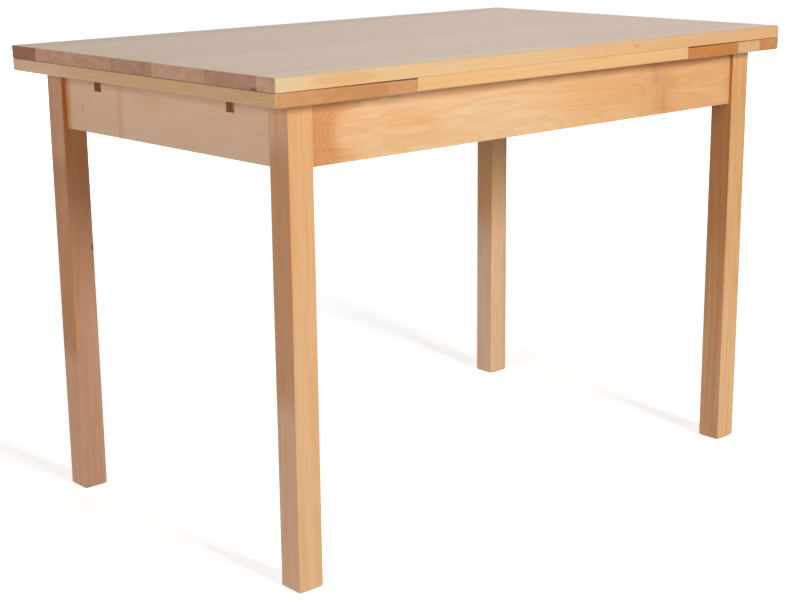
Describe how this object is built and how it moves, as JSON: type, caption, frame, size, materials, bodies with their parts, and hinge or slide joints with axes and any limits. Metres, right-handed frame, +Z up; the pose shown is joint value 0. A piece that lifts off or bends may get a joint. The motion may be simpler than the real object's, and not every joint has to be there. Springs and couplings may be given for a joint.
{
  "type": "draw leaf table",
  "caption": "Extending dining table in solid light wood: a loose top lies over draw leaves that slide out and climb on tapered bearers, on square legs and aprons.",
  "frame": {"origin": "on the floor, under the middle of the closed table", "axes": "+X along the table towards the right leaf, +Y across it to the back, +Z up"},
  "size_m": [1.11, 0.69, 0.75],
  "materials": {
    "table_top": "oiled, satin, staves along the table",
    "draw_leaf": "oiled, satin, staves across the table",
    "centre_board": "oiled, satin, staves along the table",
    "leg": "oiled, satin, upright grain",
    "apron": "oiled, satin, lengthwise grain",
    "bearer": "planed hardwood, unfinished",
    "guide_rail": "planed, unfinished",
    "corner_block": "sawn and planed, unfinished",
    "dowel": "turned hardwood dowel",
    "screw": "zinc plated"
  },
  "bodies": {
    "frame": {"centre_board": "centre_board", "centre_board_screws": "screw", "front_apron": "apron", "back_apron": "apron", "left_end_apron": "apron", "right_end_apron": "apron", "left_guide_rail": "guide_rail", "right_guide_rail": "guide_rail", "corner_block_screws": "screw", "leg_front_left": "leg", "leg_front_right": "leg", "leg_back_left": "leg", "leg_back_right": "leg", "corner_block_front_left": "corner_block", "corner_block_front_right": "corner_block", "corner_block_back_left": "corner_block", "corner_block_back_right": "corner_block"},
    "left_leaf": {"left_leaf": "draw_leaf", "left_front_bearer": "bearer", "left_back_bearer": "bearer", "left_bearer_screws": "screw", "left_stop_pins": "dowel"},
    "right_leaf": {"right_leaf": "draw_leaf", "right_front_bearer": "bearer", "right_back_bearer": "bearer", "right_bearer_screws": "screw", "right_stop_pins": "dowel"},
    "locating_dowels": {"locating_dowels": "dowel"},
    "top": {"table_top": "table_top"}
  },
  "joints": [
    {"name": "left_leaf_draw", "type": "slide", "parent": "frame", "child": "left_leaf", "axis": [-0.9966, 0, 0.0828], "range_m": [0, 0.25377]},
    {"name": "right_leaf_draw", "type": "slide", "parent": "frame", "child": "right_leaf", "axis": [0.9966, 0, 0.0828], "range_m": [0, 0.25377]},
    {"name": "top_tilt_by_left_leaf", "type": "hinge", "parent": "frame", "child": "locating_dowels", "pos_m": [0.5544, 0, 0.7296], "axis": [0, 1, 0], "range_deg": [0, 1.03]},
    {"name": "top_tilt_by_right_leaf", "type": "hinge", "parent": "locating_dowels", "child": "top", "pos_m": [-0.5544, 0, 0.7296], "axis": [0, -1, 0], "range_deg": [0, 1.03]}
  ],
  "couplings": [
    {"joint": "top_tilt_by_left_leaf", "follows": "left_leaf_draw", "rad_per_m": 0.07},
    {"joint": "top_tilt_by_right_leaf", "follows": "right_leaf_draw", "rad_per_m": 0.07}
  ]
}
